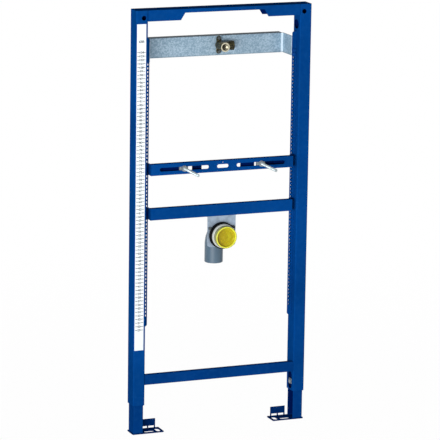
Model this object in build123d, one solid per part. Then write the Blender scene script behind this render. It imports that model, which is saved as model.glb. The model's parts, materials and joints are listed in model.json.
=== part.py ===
from build123d import *
import os

# A floor-standing steel frame that carries a wall-hung urinal inside a stud wall.
# X runs across the frame, -Y is the room side, +Z is up and the floor is Z = 0.
# The pieces are drawn about the middle of the posts' depth, and then all are moved together
# so that the origin lies on the floor, midway between the two floor slots of the feet.
# All lengths are in millimetres.

# Overall size
FRAME_WIDTH = 500.0
FRAME_HEIGHT = 1150.0

# Posts: rectangular tubes with a closed top
POST_WIDTH = 33.0
POST_DEPTH = 45.0
POST_WALL = 2.5
POST_CORNER = 3.0
POST_BOTTOM = 80.0
WALL_HOLE_DIAMETER = 12.5
WALL_HOLE_DROP = 20.0
WALL_HOLE_INSET = 11.5
CABLE_SLOT_LENGTH = 30.0
CABLE_SLOT_WIDTH = 24.0
CABLE_SLOT_DROP = 57.0
CABLE_SLOT_BACK = 3.0

# Telescopic legs inside the posts, and the clamp that holds each one behind a window of its post
LEG_CLEARANCE = 0.4
LEG_WALL = 2.5
LEG_CORNER = 1.5
LEG_TRAVEL = 200.0
LEG_STOP_GAP = 5.0
LEG_OVERLAP = 80.0
CLAMP_WINDOW_LENGTH = 50.0
CLAMP_WINDOW_WIDTH = 26.0
CLAMP_WINDOW_HEIGHT = 28.0
CLAMP_HEIGHT = 23.0
CLAMP_STRAP_WIDTH = 14.0
CLAMP_STRAP_THICK = 3.0
CLAMP_STRAP_GAP = 0.6
CLAMP_DIAMETER = 8.0
CLAMP_HEAD_FLATS = 11.0
CLAMP_HEAD_THICK = 4.0
CLAMP_TIP_GAP = 0.2

# Feet: flat plates with a tab folded up along a slotted bend line
FOOT_LENGTH = 90.0
FOOT_DEPTH = 45.0
FOOT_THICK = 2.5
FOOT_CORNER = 3.0
FOOT_SLOT_WIDTH = 13.0
FLOOR_SLOT_LENGTH = 30.0
FLOOR_SLOT_INSET = 51.0
FLOOR_SLOT_FROM_FRONT = 13.5
CROSS_SLOT_LENGTH = 28.0
CROSS_SLOT_FROM_TIP = 12.0
CROSS_SLOT_FROM_FRONT = 19.5
TAB_LENGTH = 42.7
TAB_FROM_TIP = 9.9
TAB_HEIGHT = 25.5
TAB_BRIDGE = 3.0
TAB_WINDOW_HEIGHT = 6.0

# Top bar: an inverted channel whose two flanges are cut back between the ends
TOP_BAR_SHEET = 2.5
TOP_BAR_END_FLANGE = 29.5
TOP_BAR_MID_FLANGE = 10.2
TOP_CUT_WIDTH_LOW = 250.0
TOP_CUT_WIDTH_HIGH = 226.0

# Bottom bar: a flat tube, flush with the posts' front
BOTTOM_BAR_HEIGHT = 28.0
BOTTOM_BAR_DEPTH = 15.0
BOTTOM_BAR_SHEET = 2.0
BOTTOM_BAR_CORNER = 2.0
BOTTOM_BAR_MIDDLE = 150.0

# Perforated rails on the posts' inner faces
RAIL_REACH = 12.5
RAIL_SHEET = 2.0
RAIL_SEAT_DEPTH = 14.0
RAIL_BOTTOM = 293.0
RAIL_TOP_DROP = 76.0
RAIL_CORNER = 6.0
RAIL_HOLE = 5.2
RAIL_PITCH = 10.0
RAIL_HOLE_TOP_DROP = 51.0
RAIL_HOLE_BOTTOM_RISE = 30.0
RAIL_HOLE_FROM_EDGE = 5.4

# Cross bars that are screwed to the rails: each hangs at the rail hole nearest to its drop
BAR_DEPTH = 15.0
BAR_SHEET = 2.0
BAR_CORNER = 1.5
BAR_LUG = 10.0
FIXING_BAR_HEIGHT = 31.0
FIXING_BAR_DROP = 300.0
WASTE_BAR_HEIGHT = 32.0
WASTE_BAR_DROP = 420.0
SCREW_NECK = 4.8
SCREW_HEAD_FLATS = 8.0
SCREW_HEAD_THICK = 3.5
SCREW_NUT_THICK = 4.0

# Slots of the fixing bar and the windows in its back wall
STUD_SLOT_HEIGHT = 10.0
STUD_SLOT_INNER = 40.0
STUD_SLOT_LENGTH = 140.0
CENTRE_SLOT_LENGTH = 33.0
CENTRE_MARK_DIAMETER = 2.5
CENTRE_MARK_OFFSET = 10.5
BACK_WINDOW_HEIGHT = 18.0
BACK_WINDOW_MIDDLE = 112.0
BACK_WINDOW_SIDE = 30.0
BACK_WINDOW_LEFT = 98.0
BACK_WINDOW_RIGHT = 111.0

# Studs that carry the urinal, with their nuts; where a nut grips, a stud has its thread's mean diameter
STUD_SPACING = 222.0
STUD_DIAMETER = 8.0
STUD_GRIP_DIAMETER = 7.2
STUD_GRIP_PROUD = 0.6
STUD_REACH = 103.0
STUD_TAIL = 11.0
STUD_CHAMFER = 1.0
STUD_SEAT_GAP = 0.3
STUD_NUT_FLATS = 13.0
STUD_NUT_THICK = 6.5
STUD_WASHER_DIAMETER = 16.0
STUD_WASHER_THICK = 1.6
SLIDE_NUT_LENGTH = 24.0
SLIDE_NUT_HEIGHT = 22.0
SLIDE_NUT_THICK = 6.0
THREAD_GAP = 0.1

# Supply bar: a galvanised channel set back behind the rails, held at their two top holes
SUPPLY_BAR_HEIGHT = 53.0
SUPPLY_LUG_MARGIN = 4.0
SUPPLY_BAR_SETBACK = 58.0
SUPPLY_BAR_FLANGE = 26.0
SUPPLY_BAR_SHEET = 2.0
SUPPLY_BAR_BEND = 3.0

# Supply elbow: a brass wall elbow with a mouth to the front and an inlet to the side
ELBOW_OFFSET = 15.0
ELBOW_ABOVE_MIDDLE = 2.0
ELBOW_PLATE_WIDTH = 13.0
ELBOW_PLATE_HEIGHT = 48.0
ELBOW_PLATE_THICK = 4.0
ELBOW_SCREW_SPACING = 37.0
ELBOW_SCREW_HOLE = 5.0
ELBOW_REACH = 50.0
ELBOW_BARREL_DIAMETER = 22.0
ELBOW_RIM_DIAMETER = 25.0
ELBOW_RIM_LENGTH = 9.0
ELBOW_BORE = 18.6
ELBOW_BORE_DEPTH = 18.0
ELBOW_WATERWAY = 12.0
ELBOW_INLET_SETBACK = 32.0
ELBOW_INLET_REACH = 35.0
ELBOW_INLET_DIAMETER = 20.0
ELBOW_INLET_BORE = 15.0
ELBOW_INLET_HEX_FLATS = 24.0
ELBOW_INLET_HEX_LENGTH = 10.0

# Waste group: bracket, bend, seal, collar and a press-in cap
SEAL_BELOW_BAR = 17.0
BRACKET_WIDTH = 81.0
BRACKET_SHEET = 2.0
BRACKET_SETBACK = 3.0
BRACKET_RIM = 2.5
BRACKET_CORNER = 8.0
BRACKET_FLANGE = 12.0
BRACKET_HOLE_DIAMETER = 6.0
BRACKET_HOLE_SPACING = 68.0
BRACKET_HOLE_DROP = 33.0
PIPE_DIAMETER = 50.0
PIPE_WALL = 2.5
PIPE_RUN_IN = 7.5
PIPE_BEND_RADIUS = 38.0
SPIGOT_LENGTH = 47.0
SPIGOT_CHAMFER = 1.2
SOCKET_DIAMETER = 57.0
SOCKET_WALL = 2.8
SOCKET_BEHIND_BRACKET = 8.0
SOCKET_PROUD = 2.5
SEAL_DIAMETER = 72.0
SEAL_LENGTH = 13.5
COLLAR_DIAMETER = 66.0
COLLAR_LENGTH = 7.5
COLLAR_TAPER = 1.5
WASTE_CLEARANCE = 0.3
CAP_DIAMETER = 60.0
CAP_LENGTH = 14.0
CAP_RIM = 4.0
CAP_DISH = 9.0
CAP_DISH_TAPER = 1.5
CAP_PLUG_LENGTH = 14.0
CAP_PLUG_WALL = 2.0
CAP_WEB = 2.0
CAP_CHAMFER = 1.5

# Height scale on the left post
STRIP_WIDTH = 25.5
STRIP_EDGE_GAP = 2.0
STRIP_BOTTOM = 234.0
STRIP_TOP_DROP = 35.6
STRIP_THICK = 0.4

# Places worked out from the sizes above: posts, legs and feet
FRONT = -POST_DEPTH / 2
BACK = POST_DEPTH / 2
POST_OUTER = FRAME_WIDTH / 2
POST_X = POST_OUTER - POST_WIDTH / 2
POST_INNER = POST_OUTER - POST_WIDTH
LEG_WIDTH = POST_WIDTH - 2 * (POST_WALL + LEG_CLEARANCE)
LEG_DEPTH = POST_DEPTH - 2 * (POST_WALL + LEG_CLEARANCE)
LEG_RETRACT = POST_BOTTOM - FOOT_THICK - LEG_STOP_GAP
LEG_EXTEND = LEG_TRAVEL - LEG_RETRACT
LEG_TOP = POST_BOTTOM + LEG_EXTEND + LEG_OVERLAP
FOOT_TIP = POST_OUTER - FOOT_LENGTH
FLOOR_LINE = -FOOT_DEPTH / 2 + FLOOR_SLOT_FROM_FRONT

# Rails and the bars that hang on them
RAIL_TOP = FRAME_HEIGHT - RAIL_TOP_DROP
RAIL_EDGE = POST_INNER - RAIL_REACH
RAIL_FRONT = -RAIL_SHEET / 2
RAIL_BACK = RAIL_SHEET / 2
RAIL_HOLE_X = RAIL_EDGE + RAIL_HOLE_FROM_EDGE
TOP_HOLE = RAIL_TOP - RAIL_HOLE_TOP_DROP
HOLE_ROW = TOP_HOLE - RAIL_BOTTOM - RAIL_HOLE_BOTTOM_RISE
RAIL_HOLE_COUNT = round(HOLE_ROW / RAIL_PITCH) + 1
FIXING_HOLE = round(FIXING_BAR_DROP / RAIL_PITCH)
FIXING_SCREWS = (FIXING_HOLE - 1, FIXING_HOLE + 1)
FIXING_BAR_MIDDLE = TOP_HOLE - FIXING_HOLE * RAIL_PITCH
WASTE_HOLE = round(WASTE_BAR_DROP / RAIL_PITCH)
WASTE_SCREWS = (WASTE_HOLE - 1, WASTE_HOLE + 1)
WASTE_BAR_MIDDLE = TOP_HOLE - WASTE_HOLE * RAIL_PITCH
WASTE_BAR_LOW = WASTE_BAR_MIDDLE - WASTE_BAR_HEIGHT / 2
SUPPLY_SCREWS = (0, 1)
SUPPLY_BAR_LOW = TOP_HOLE - RAIL_PITCH - SUPPLY_LUG_MARGIN
SUPPLY_WEB_FRONT = RAIL_BACK + SUPPLY_BAR_SETBACK
ELBOW_HEIGHT = SUPPLY_BAR_LOW + SUPPLY_BAR_HEIGHT / 2 + ELBOW_ABOVE_MIDDLE
LUG_REACH = RAIL_EDGE + BAR_LUG

# Waste group, from its height and then from the bracket to the front and to the back
WASTE_AXIS = WASTE_BAR_LOW - SEAL_BELOW_BAR - SEAL_DIAMETER / 2
SOCKET_HOLE = SOCKET_DIAMETER + 2 * WASTE_CLEARANCE
SOCKET_BORE = SOCKET_DIAMETER - 2 * SOCKET_WALL
BRACKET_BOTTOM = WASTE_AXIS - SOCKET_HOLE / 2 - BRACKET_RIM
BRACKET_FRONT = FRONT + BRACKET_SETBACK
SEAL_FRONT = BRACKET_FRONT - SEAL_LENGTH
COLLAR_FRONT = SEAL_FRONT - COLLAR_LENGTH
SOCKET_FRONT = COLLAR_FRONT - SOCKET_PROUD
SOCKET_BACK = BRACKET_FRONT + SOCKET_BEHIND_BRACKET
PIPE_TURN_Y = SOCKET_BACK + PIPE_RUN_IN
PIPE_TURN_Z = WASTE_AXIS - PIPE_BEND_RADIUS
PIPE_Y = PIPE_TURN_Y + PIPE_BEND_RADIUS

RIGHT = 1
LEFT = -1


def rail_hole_height(index):
    """Height of one hole of the rails, counted down from the top one."""
    return TOP_HOLE - index * RAIL_PITCH


def block(x_span, y_span, z_span):
    """A box between two values on each axis."""
    size = [high - low for low, high in (x_span, y_span, z_span)]
    middle = [(high + low) / 2 for low, high in (x_span, y_span, z_span)]
    return Pos(*middle) * Box(*size)


def on_side(shape, side):
    """A piece drawn for the right-hand side, or its mirror image for the left."""
    return shape if side == RIGHT else mirror(shape, about=Plane.YZ)


def front_plane(x, y, z):
    """A drawing plane whose x runs across, whose y runs up and whose normal faces the room."""
    return Plane(origin=(x, y, z), x_dir=(1, 0, 0), z_dir=(0, -1, 0))


def side_plane(x, y, z):
    """A drawing plane whose x runs to the back, whose y runs up and whose normal is +X."""
    return Plane(origin=(x, y, z), x_dir=(0, 1, 0), z_dir=(1, 0, 0))


def rod_to_front(radius, x, z, back, front):
    """A round rod along Y between two depths."""
    return extrude(front_plane(x, back, z) * Circle(radius), back - front)


def hex_to_front(flats, x, z, back, front):
    """A hexagonal prism along Y between two depths."""
    outline = RegularPolygon(flats / 2, 6, major_radius=False, rotation=30)
    return extrude(front_plane(x, back, z) * outline, back - front)


def tube_section(width, depth, wall, corner):
    """The cross-section of a rectangular tube, rounded outside."""
    return RectangleRounded(width, depth, corner) - Rectangle(width - 2 * wall, depth - 2 * wall)


# Posts, legs and feet

def make_post(side):
    """A tube with a closed top, holes for the wall anchors, a cable hole and a window for the clamp."""
    section = tube_section(POST_WIDTH, POST_DEPTH, POST_WALL, POST_CORNER)
    post = extrude(Pos(POST_X, 0, POST_BOTTOM) * section, FRAME_HEIGHT - POST_BOTTOM)
    lid = RectangleRounded(POST_WIDTH, POST_DEPTH, POST_CORNER)
    post += extrude(Pos(POST_X, 0, FRAME_HEIGHT - POST_WALL) * lid, POST_WALL)
    hole_x = POST_INNER + WALL_HOLE_INSET
    hole_z = FRAME_HEIGHT - WALL_HOLE_DROP
    post -= rod_to_front(WALL_HOLE_DIAMETER / 2, hole_x, hole_z, BACK, FRONT)
    cable_slot = SlotOverall(CABLE_SLOT_LENGTH, CABLE_SLOT_WIDTH)
    cable_plane = side_plane(POST_INNER, CABLE_SLOT_BACK, FRAME_HEIGHT - CABLE_SLOT_DROP)
    post -= extrude(cable_plane * cable_slot, POST_WALL)
    clamp_window = SlotOverall(CLAMP_WINDOW_LENGTH, CLAMP_WINDOW_WIDTH, rotation=90)
    window_z = POST_BOTTOM + CLAMP_WINDOW_HEIGHT
    post -= extrude(side_plane(POST_INNER, 0, window_z) * clamp_window, POST_WALL)
    return on_side(post, side)


def make_leg(side):
    """A channel, open to the frame's middle, that keeps its overlap when it is drawn right out."""
    section = tube_section(LEG_WIDTH, LEG_DEPTH, LEG_WALL, LEG_CORNER)
    section -= Pos(-LEG_WIDTH / 2, 0) * Rectangle(2 * LEG_WALL, LEG_DEPTH - 2 * LEG_WALL)
    leg = extrude(Pos(POST_X, 0, FOOT_THICK) * section, LEG_TOP - FOOT_THICK)
    return on_side(leg, side)


def make_foot(side):
    """A slotted plate that reaches inwards from the leg, with a tab along its back edge."""
    plate = Pos(FOOT_TIP + FOOT_LENGTH / 2, 0, 0) * RectangleRounded(FOOT_LENGTH, FOOT_DEPTH, FOOT_CORNER)
    front_edge = -FOOT_DEPTH / 2
    floor_slot = SlotOverall(FLOOR_SLOT_LENGTH, FOOT_SLOT_WIDTH)
    plate -= Pos(POST_OUTER - FLOOR_SLOT_INSET, front_edge + FLOOR_SLOT_FROM_FRONT, 0) * floor_slot
    cross_slot = SlotOverall(CROSS_SLOT_LENGTH, FOOT_SLOT_WIDTH, rotation=90)
    plate -= Pos(FOOT_TIP + CROSS_SLOT_FROM_TIP, front_edge + CROSS_SLOT_FROM_FRONT, 0) * cross_slot
    foot = extrude(plate, FOOT_THICK)
    tab_outline = Pos(TAB_LENGTH / 2, TAB_HEIGHT / 2) * Rectangle(TAB_LENGTH, TAB_HEIGHT)
    window_width = (TAB_LENGTH - 3 * TAB_BRIDGE) / 2
    window = Rectangle(window_width, TAB_WINDOW_HEIGHT)
    for index in range(2):
        window_x = TAB_BRIDGE + window_width / 2 + index * (window_width + TAB_BRIDGE)
        tab_outline -= Pos(window_x, TAB_WINDOW_HEIGHT / 2) * window
    tab_plane = front_plane(FOOT_TIP + TAB_FROM_TIP, FOOT_DEPTH / 2, FOOT_THICK)
    foot += extrude(tab_plane * tab_outline, FOOT_THICK)
    return on_side(foot, side)


def make_clamp_bolt(side):
    """A strap across the window, inside the post, with a hexagon bolt that bears on the leg's web."""
    seat = side_plane(POST_INNER + POST_WALL, 0, POST_BOTTOM + CLAMP_HEIGHT)
    strap_length = LEG_DEPTH - 2 * (LEG_WALL + CLAMP_STRAP_GAP)
    clamp = extrude(seat * Rectangle(strap_length, CLAMP_STRAP_WIDTH), CLAMP_STRAP_THICK)
    web_distance = LEG_CLEARANCE + LEG_WIDTH - LEG_WALL
    clamp += extrude(seat * Circle(CLAMP_DIAMETER / 2), web_distance - CLAMP_TIP_GAP)
    head = RegularPolygon(CLAMP_HEAD_FLATS / 2, 6, major_radius=False)
    clamp += extrude(seat * head, -CLAMP_HEAD_THICK)
    return on_side(clamp, side)


# Welded bars and rails

def make_top_bar():
    """An inverted channel between the posts, its flanges cut back in the middle."""
    low = FRAME_HEIGHT - TOP_BAR_END_FLANGE
    outer = block((-POST_INNER, POST_INNER), (FRONT, BACK), (low, FRAME_HEIGHT))
    inside_back = BACK - TOP_BAR_SHEET
    inside_top = FRAME_HEIGHT - TOP_BAR_SHEET
    inside = block((-POST_INNER, POST_INNER), (-inside_back, inside_back), (low, inside_top))
    cut_top = FRAME_HEIGHT - TOP_BAR_MID_FLANGE
    cut = Polyline(
        (-TOP_CUT_WIDTH_LOW / 2, low),
        (TOP_CUT_WIDTH_LOW / 2, low),
        (TOP_CUT_WIDTH_HIGH / 2, cut_top),
        (-TOP_CUT_WIDTH_HIGH / 2, cut_top),
        close=True,
    )
    notch = extrude(front_plane(0, BACK, 0) * make_face(cut), POST_DEPTH)
    return outer - inside - notch


def flat_tube(half, depth, height, middle, wall, corner):
    """A rectangular tube across the frame, flush with the posts' front."""
    start = side_plane(-half, FRONT + depth / 2, middle)
    return extrude(start * tube_section(depth, height, wall, corner), 2 * half)


def make_bottom_bar():
    """A flat tube welded between the posts."""
    size = (BOTTOM_BAR_DEPTH, BOTTOM_BAR_HEIGHT, BOTTOM_BAR_MIDDLE)
    return flat_tube(POST_INNER, *size, BOTTOM_BAR_SHEET, BOTTOM_BAR_CORNER)


def make_rail(side):
    """An angle on the post's inner face, with a row of square holes in its free flange."""
    height = RAIL_TOP - RAIL_BOTTOM
    outline = Pos(RAIL_REACH / 2, height / 2) * Rectangle(RAIL_REACH, height)
    free_corners = outline.vertices().sort_by(Axis.X)[:2]
    outline = fillet(free_corners, RAIL_CORNER)
    hole = Rectangle(RAIL_HOLE, RAIL_HOLE)
    outline -= [
        Pos(RAIL_HOLE_FROM_EDGE, rail_hole_height(index) - RAIL_BOTTOM) * hole
        for index in range(RAIL_HOLE_COUNT)
    ]
    rail = extrude(front_plane(RAIL_EDGE, RAIL_BACK, RAIL_BOTTOM) * outline, RAIL_SHEET)
    seat_x = (POST_INNER - RAIL_SHEET, POST_INNER)
    rail += block(seat_x, (RAIL_BACK, RAIL_BACK + RAIL_SEAT_DEPTH), (RAIL_BOTTOM, RAIL_TOP))
    return on_side(rail, side)


# Screwed cross bars

def square_to_front(width, x, z, back, front):
    """A square bar along Y between two depths."""
    return extrude(front_plane(x, back, z) * Rectangle(width, width), back - front)


def lug_holes(holes, back, front):
    """Square holes in the end lugs of a bar, in line with the rails' holes."""
    return [
        square_to_front(RAIL_HOLE, side * RAIL_HOLE_X, rail_hole_height(index), back, front)
        for side in (LEFT, RIGHT)
        for index in holes
    ]


def hat_bar(middle, height, screw_holes):
    """A shallow tube between two end plates, which are folded out to lugs that lie on the rails."""
    inner_half = RAIL_EDGE - BAR_SHEET
    lug_front = RAIL_FRONT - BAR_SHEET
    bar = flat_tube(inner_half, BAR_DEPTH, height, middle, BAR_SHEET, BAR_CORNER)
    plan = Polyline(
        (inner_half, FRONT),
        (RAIL_EDGE, FRONT),
        (RAIL_EDGE, lug_front),
        (LUG_REACH, lug_front),
        (LUG_REACH, RAIL_FRONT),
        (inner_half, RAIL_FRONT),
        close=True,
    )
    end_plate = extrude(Pos(0, 0, middle - height / 2) * make_face(plan), height)
    for side in (LEFT, RIGHT):
        bar += on_side(end_plate, side)
    return bar - lug_holes(screw_holes, RAIL_FRONT, lug_front)


def bar_screws(screw_holes, lug_front, seat_back):
    """Hexagon screws with square necks through the lugs and rails, each with its nut behind."""
    nut_back = seat_back + SCREW_NUT_THICK
    screws = []
    for side in (LEFT, RIGHT):
        for index in screw_holes:
            place = (side * RAIL_HOLE_X, rail_hole_height(index))
            screw = hex_to_front(SCREW_HEAD_FLATS, *place, lug_front, lug_front - SCREW_HEAD_THICK)
            screw += square_to_front(SCREW_NECK, *place, seat_back, lug_front)
            screw += hex_to_front(SCREW_HEAD_FLATS, *place, nut_back, seat_back)
            screws.append(screw)
    return Compound(screws)


def make_fixing_bar():
    """The bar for the urinal's studs, with long slots in front and windows in the back wall."""
    bar = hat_bar(FIXING_BAR_MIDDLE, FIXING_BAR_HEIGHT, FIXING_SCREWS)
    slot_middle = STUD_SLOT_INNER + STUD_SLOT_LENGTH / 2
    openings = Sketch() + SlotOverall(CENTRE_SLOT_LENGTH, STUD_SLOT_HEIGHT)
    for side in (LEFT, RIGHT):
        openings += Pos(side * slot_middle, 0) * SlotOverall(STUD_SLOT_LENGTH, STUD_SLOT_HEIGHT)
        openings += Pos(0, side * CENTRE_MARK_OFFSET) * Circle(CENTRE_MARK_DIAMETER / 2)
    bar -= extrude(front_plane(0, FRONT + BAR_SHEET, FIXING_BAR_MIDDLE) * openings, BAR_SHEET)
    windows = Sketch() + Rectangle(BACK_WINDOW_MIDDLE, BACK_WINDOW_HEIGHT)
    for window_x in (-BACK_WINDOW_LEFT, BACK_WINDOW_RIGHT):
        windows += Pos(window_x, 0) * Rectangle(BACK_WINDOW_SIDE, BACK_WINDOW_HEIGHT)
    bar -= extrude(front_plane(0, FRONT + BAR_DEPTH, FIXING_BAR_MIDDLE) * windows, BAR_SHEET)
    return bar


def make_waste_bar():
    """The plain bar above the waste, of the same make as the fixing bar."""
    return hat_bar(WASTE_BAR_MIDDLE, WASTE_BAR_HEIGHT, WASTE_SCREWS)


# Studs, each with what clamps it to the fixing bar

WASHER_BACK = FRONT - STUD_SEAT_GAP
NUT_BACK = WASHER_BACK - STUD_WASHER_THICK
NUT_FRONT = NUT_BACK - STUD_NUT_THICK


def make_stud(side):
    """A threaded rod through the fixing bar's slot."""
    place = (side * STUD_SPACING / 2, FIXING_BAR_MIDDLE)
    grip_front = NUT_FRONT - STUD_GRIP_PROUD
    rod = rod_to_front(STUD_DIAMETER / 2, *place, grip_front, FRONT - STUD_REACH)
    tip = rod.edges().filter_by(GeomType.CIRCLE).sort_by(Axis.Y)[0]
    rod = chamfer(tip, STUD_CHAMFER)
    return rod + rod_to_front(STUD_GRIP_DIAMETER / 2, *place, FRONT + STUD_TAIL, grip_front)


def stud_ring(outer, side, back, front):
    """A nut or washer: an outline with the stud's hole through it."""
    radius = STUD_GRIP_DIAMETER / 2 + THREAD_GAP
    return outer - rod_to_front(radius, side * STUD_SPACING / 2, FIXING_BAR_MIDDLE, back, front)


def make_stud_washer(side):
    """The washer in front of the slot."""
    place = (side * STUD_SPACING / 2, FIXING_BAR_MIDDLE)
    disc = rod_to_front(STUD_WASHER_DIAMETER / 2, *place, WASHER_BACK, NUT_BACK)
    return stud_ring(disc, side, WASHER_BACK, NUT_BACK)


def make_stud_nut(side):
    """The nut that clamps the stud against the bar."""
    prism = hex_to_front(STUD_NUT_FLATS, side * STUD_SPACING / 2, FIXING_BAR_MIDDLE, NUT_BACK, NUT_FRONT)
    return stud_ring(prism, side, NUT_BACK, NUT_FRONT)


def make_slide_nut(side):
    """The plate nut that slides inside the bar behind the slot."""
    front = FRONT + BAR_SHEET + STUD_SEAT_GAP
    back = front + SLIDE_NUT_THICK
    plate = Rectangle(SLIDE_NUT_LENGTH, SLIDE_NUT_HEIGHT)
    plane = front_plane(side * STUD_SPACING / 2, back, FIXING_BAR_MIDDLE)
    return stud_ring(extrude(plane * plate, SLIDE_NUT_THICK), side, back, front)


# Water supply

def make_supply_bar():
    """A channel set back from the rails, with end plates that come forward to lugs behind them."""
    web_back = SUPPLY_WEB_FRONT + SUPPLY_BAR_SHEET
    lug_back = RAIL_BACK + SUPPLY_BAR_SHEET
    inner = RAIL_EDGE - SUPPLY_BAR_SHEET
    plan = Polyline(
        (-LUG_REACH, RAIL_BACK),
        (-inner, RAIL_BACK),
        (-inner, SUPPLY_WEB_FRONT),
        (inner, SUPPLY_WEB_FRONT),
        (inner, RAIL_BACK),
        (LUG_REACH, RAIL_BACK),
        (LUG_REACH, lug_back),
        (RAIL_EDGE, lug_back),
        (RAIL_EDGE, web_back),
        (-RAIL_EDGE, web_back),
        (-RAIL_EDGE, lug_back),
        (-LUG_REACH, lug_back),
        close=True,
    )
    bar = extrude(Pos(0, 0, SUPPLY_BAR_LOW) * make_face(plan), SUPPLY_BAR_HEIGHT)
    web_corners = bar.edges().filter_by(Axis.Z).group_by(Axis.Y)[-1]
    bar = fillet(web_corners, SUPPLY_BAR_BEND)
    flange_x = (-RAIL_EDGE + SUPPLY_BAR_BEND, RAIL_EDGE - SUPPLY_BAR_BEND)
    flange_y = (web_back, web_back + SUPPLY_BAR_FLANGE)
    top_flange = SUPPLY_BAR_LOW + SUPPLY_BAR_HEIGHT - SUPPLY_BAR_SHEET
    for flange_low in (SUPPLY_BAR_LOW, top_flange):
        bar += block(flange_x, flange_y, (flange_low, flange_low + SUPPLY_BAR_SHEET))
    return bar - lug_holes(SUPPLY_SCREWS, lug_back, RAIL_BACK)


def make_supply_elbow():
    """A brass elbow on a two-hole plate, threaded mouth to the front and inlet to the right."""
    mouth = -ELBOW_REACH
    inlet_y = mouth + ELBOW_INLET_SETBACK
    bore_back = mouth + ELBOW_BORE_DEPTH
    outline = SlotOverall(ELBOW_PLATE_HEIGHT, ELBOW_PLATE_WIDTH, rotation=90)
    for side in (LEFT, RIGHT):
        outline -= Pos(0, side * ELBOW_SCREW_SPACING / 2) * Circle(ELBOW_SCREW_HOLE / 2)
    elbow = extrude(front_plane(0, 0, 0) * outline, ELBOW_PLATE_THICK)
    elbow += rod_to_front(ELBOW_BARREL_DIAMETER / 2, 0, 0, -ELBOW_PLATE_THICK, mouth)
    elbow += rod_to_front(ELBOW_RIM_DIAMETER / 2, 0, 0, mouth + ELBOW_RIM_LENGTH, mouth)
    inlet = side_plane(0, inlet_y, 0)
    hex_start = inlet.offset(ELBOW_INLET_REACH - ELBOW_INLET_HEX_LENGTH)
    hexagon = RegularPolygon(ELBOW_INLET_HEX_FLATS / 2, 6, major_radius=False)
    elbow += extrude(inlet * Circle(ELBOW_INLET_DIAMETER / 2), ELBOW_INLET_REACH)
    elbow += extrude(hex_start * hexagon, ELBOW_INLET_HEX_LENGTH)
    elbow -= rod_to_front(ELBOW_BORE / 2, 0, 0, bore_back, mouth)
    elbow -= rod_to_front(ELBOW_WATERWAY / 2, 0, 0, inlet_y + ELBOW_WATERWAY / 2, bore_back)
    elbow -= extrude(inlet * Circle(ELBOW_WATERWAY / 2), ELBOW_INLET_REACH)
    elbow -= extrude(hex_start * Circle(ELBOW_INLET_BORE / 2), ELBOW_INLET_HEX_LENGTH)
    return Pos(ELBOW_OFFSET, SUPPLY_WEB_FRONT, ELBOW_HEIGHT) * elbow


# Waste

def make_waste_bracket():
    """A plate that hangs from the waste bar by a folded flange and holds the bend's socket."""
    height = WASTE_BAR_LOW - BRACKET_BOTTOM
    outline = Pos(0, -height / 2) * Rectangle(BRACKET_WIDTH, height)
    outline = fillet(outline.vertices().sort_by(Axis.Y)[:2], BRACKET_CORNER)
    outline -= Pos(0, WASTE_AXIS - WASTE_BAR_LOW) * Circle(SOCKET_HOLE / 2)
    for side in (LEFT, RIGHT):
        hole_x = side * BRACKET_HOLE_SPACING / 2
        outline -= Pos(hole_x, -BRACKET_HOLE_DROP) * Circle(BRACKET_HOLE_DIAMETER / 2)
    bracket = extrude(front_plane(0, BRACKET_FRONT + BRACKET_SHEET, WASTE_BAR_LOW) * outline, BRACKET_SHEET)
    half = BRACKET_WIDTH / 2
    flange_y = (BRACKET_FRONT, BRACKET_FRONT + BRACKET_FLANGE)
    bracket += block((-half, half), flange_y, (WASTE_BAR_LOW - BRACKET_SHEET, WASTE_BAR_LOW))
    return bracket


def waste_rod(diameter, back, front):
    """A round rod about the waste's axis."""
    return rod_to_front(diameter / 2, 0, WASTE_AXIS, back, front)


def bent_rod(diameter):
    """A round rod on the pipe's way: straight in, a quarter turn and straight down."""
    rod = waste_rod(diameter, PIPE_TURN_Y, SOCKET_BACK)
    section = front_plane(0, PIPE_TURN_Y, WASTE_AXIS) * Circle(diameter / 2)
    rod += revolve(section, Axis((0, PIPE_TURN_Y, PIPE_TURN_Z), (-1, 0, 0)), 90)
    return rod + Pos(0, PIPE_Y, PIPE_TURN_Z - SPIGOT_LENGTH / 2) * Cylinder(diameter / 2, SPIGOT_LENGTH)


def make_waste_bend():
    """A socket through the bracket, a quarter bend and a plain spigot pointing down."""
    outside = bent_rod(PIPE_DIAMETER) + waste_rod(SOCKET_DIAMETER, SOCKET_BACK, SOCKET_FRONT)
    spigot_end = outside.edges().filter_by(GeomType.CIRCLE).sort_by(Axis.Z)[0]
    outside = chamfer(spigot_end, SPIGOT_CHAMFER)
    pipe_bore = PIPE_DIAMETER - 2 * PIPE_WALL
    bend = outside - bent_rod(pipe_bore) - waste_rod(pipe_bore, SOCKET_BACK, SOCKET_FRONT)
    return bend - waste_rod(SOCKET_BORE, SOCKET_BACK - SOCKET_WALL, SOCKET_FRONT)


def make_waste_seal():
    """The rubber ring against the bracket."""
    return waste_rod(SEAL_DIAMETER, BRACKET_FRONT, SEAL_FRONT) - waste_rod(SOCKET_HOLE, BRACKET_FRONT, SEAL_FRONT)


def make_waste_collar():
    """The plain collar in front of the rubber ring, with a tapered lip."""
    collar = waste_rod(COLLAR_DIAMETER, SEAL_FRONT, COLLAR_FRONT)
    lip = collar.edges().filter_by(GeomType.CIRCLE).sort_by(Axis.Y)[0]
    return chamfer(lip, COLLAR_TAPER) - waste_rod(SOCKET_HOLE, SEAL_FRONT, COLLAR_FRONT)


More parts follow.
